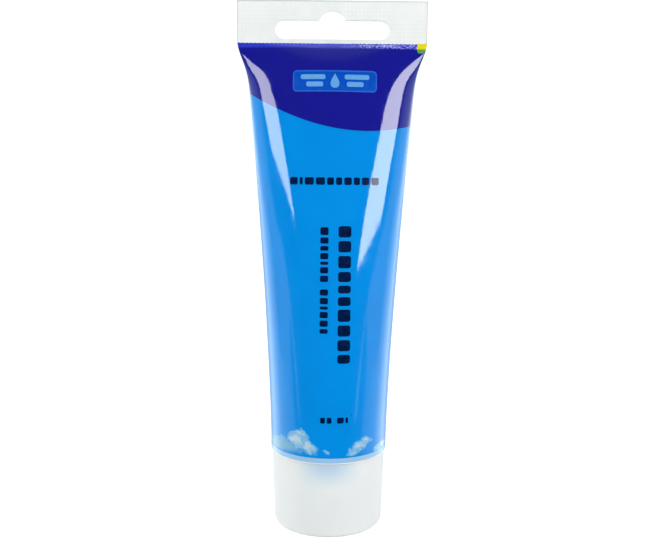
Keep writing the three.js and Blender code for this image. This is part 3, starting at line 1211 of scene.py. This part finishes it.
def towards(azimuth, elevation):
    """A unit vector: azimuth 0 is the front, -Y, and 90 is +X."""
    a, e = math.radians(azimuth), math.radians(elevation)
    return Vector((math.sin(a) * math.cos(e), -math.cos(a) * math.cos(e), math.sin(e)))


def glow_material(name, colour, strength):
    material = bpy.data.materials.new(name)
    material.use_nodes = True
    tree = material.node_tree
    tree.nodes.remove(tree.nodes["Principled BSDF"])
    glow = tree.nodes.new("ShaderNodeEmission")
    glow.inputs["Color"].default_value = colour
    glow.inputs["Strength"].default_value = strength
    tree.links.new(glow.outputs[0], tree.nodes["Material Output"].inputs["Surface"])
    return material


def make_panel(name, strength, corners, distance, mirrored):
    """A bright panel at a distance from the tube's middle, in metres."""
    middle = Vector((0, 0, 0.09))
    points = [(middle + towards(*corner) * distance) / MM for corner in corners]
    material = glow_material(name, PANEL_COLOUR if mirrored else FILL_COLOUR, strength)
    panel = mesh_piece(name, points, [tuple(range(len(points)))], [material])
    panel.visible_camera = False
    panel.visible_glossy = mirrored


def make_world():
    """White to the camera. To the tube, dark in front and bright at the sides and behind."""
    world = bpy.data.worlds.new("studio")
    bpy.context.scene.world = world
    world.use_nodes = True
    tree = world.node_tree
    background = tree.nodes["Background"]
    background.inputs["Color"].default_value = WORLD_COLOUR

    def maths(operation, first, second):
        node = tree.nodes.new("ShaderNodeMath")
        node.operation = operation
        tree.links.new(first, node.inputs[0])
        tree.links.new(second, node.inputs[1])
        return node.outputs[0]

    def mapped(value, *limits):
        """value, from the first two limits to the last two."""
        node = tree.nodes.new("ShaderNodeMapRange")
        tree.links.new(value, node.inputs["Value"])
        for name, limit in zip(("From Min", "From Max", "To Min", "To Max"), limits):
            node.inputs[name].default_value = limit
        return node.outputs[0]

    split = tree.nodes.new("ShaderNodeSeparateXYZ")
    tree.links.new(tree.nodes.new("ShaderNodeTexCoord").outputs["Generated"], split.inputs[0])
    under_horizon = mapped(split.outputs["Z"], 0.02, -0.07, 0, 0.16)
    back = mapped(maths("ADD", split.outputs["Y"], under_horizon), -1, 1, 0, 1)

    stops = tree.nodes.new("ShaderNodeValToRGB")
    elements = stops.color_ramp.elements
    elements[0].position = 0
    elements[0].color = (0, 0, 0, 1)
    elements[1].position = (1 + WORLD_STRENGTHS[0][0]) / 2
    elements[1].color = (WORLD_STRENGTHS[0][1] / WORLD_BRIGHTEST,) * 3 + (1,)
    for towards_back, strength in WORLD_STRENGTHS[1:]:
        stop = elements.new((1 + towards_back) / 2)
        stop.color = (strength / WORLD_BRIGHTEST,) * 3 + (1,)
    tree.links.new(back, stops.inputs[0])

    dimmed_overhead = mapped(split.outputs["Z"], 0.3, 0.75, WORLD_BRIGHTEST, 0.35 * WORLD_BRIGHTEST)
    lighting = maths("MULTIPLY", stops.outputs[0], dimmed_overhead)
    seen = tree.nodes.new("ShaderNodeMix")
    tree.links.new(tree.nodes.new("ShaderNodeLightPath").outputs["Is Camera Ray"], seen.inputs["Factor"])
    tree.links.new(lighting, seen.inputs["A"])
    seen.inputs["B"].default_value = BACKDROP_WHITE
    tree.links.new(seen.outputs[0], background.inputs["Strength"])


def make_floor():
    """A pale floor that looks as white as the backdrop to the camera, and isn't mirrored in the tube."""
    far = FLOOR_HALF_SIZE
    corners = [(-far, -far), (far, -far), (far, far), (-far, far)]
    look = Look("pale_floor")
    path = look.add("ShaderNodeLightPath")
    look.set(
        Base_Color=look.blend(look.noise(60), linear(226, 226, 226), linear(230, 230, 230)),
        Roughness=0.9,
        Specular_IOR_Level=0.1,
        Emission_Color=(1, 1, 1, 1),
        Emission_Strength=look.product(path.outputs["Is Camera Ray"], FLOOR_GLOW),
    )
    floor = mesh_piece("floor", [(x, y, FLOOR_LEVEL) for x, y in corners], [(0, 1, 2, 3)], [look.material])
    floor.visible_glossy = False


def make_studio():
    make_camera()
    make_world()
    make_floor()
    for name, strength, corners in SOFTBOXES:
        make_panel(name, strength, corners, SOFTBOX_DISTANCE, mirrored=True)
    for name, strength, corners in FILLS:
        make_panel(name, strength, corners, FILL_DISTANCE, mirrored=False)
    bpy.context.scene.view_settings.view_transform = "Standard"


make_studio()
make_sleeve()
make_cap()
make_shoulder()
make_wad()
make_foil()
make_paint()
make_print()
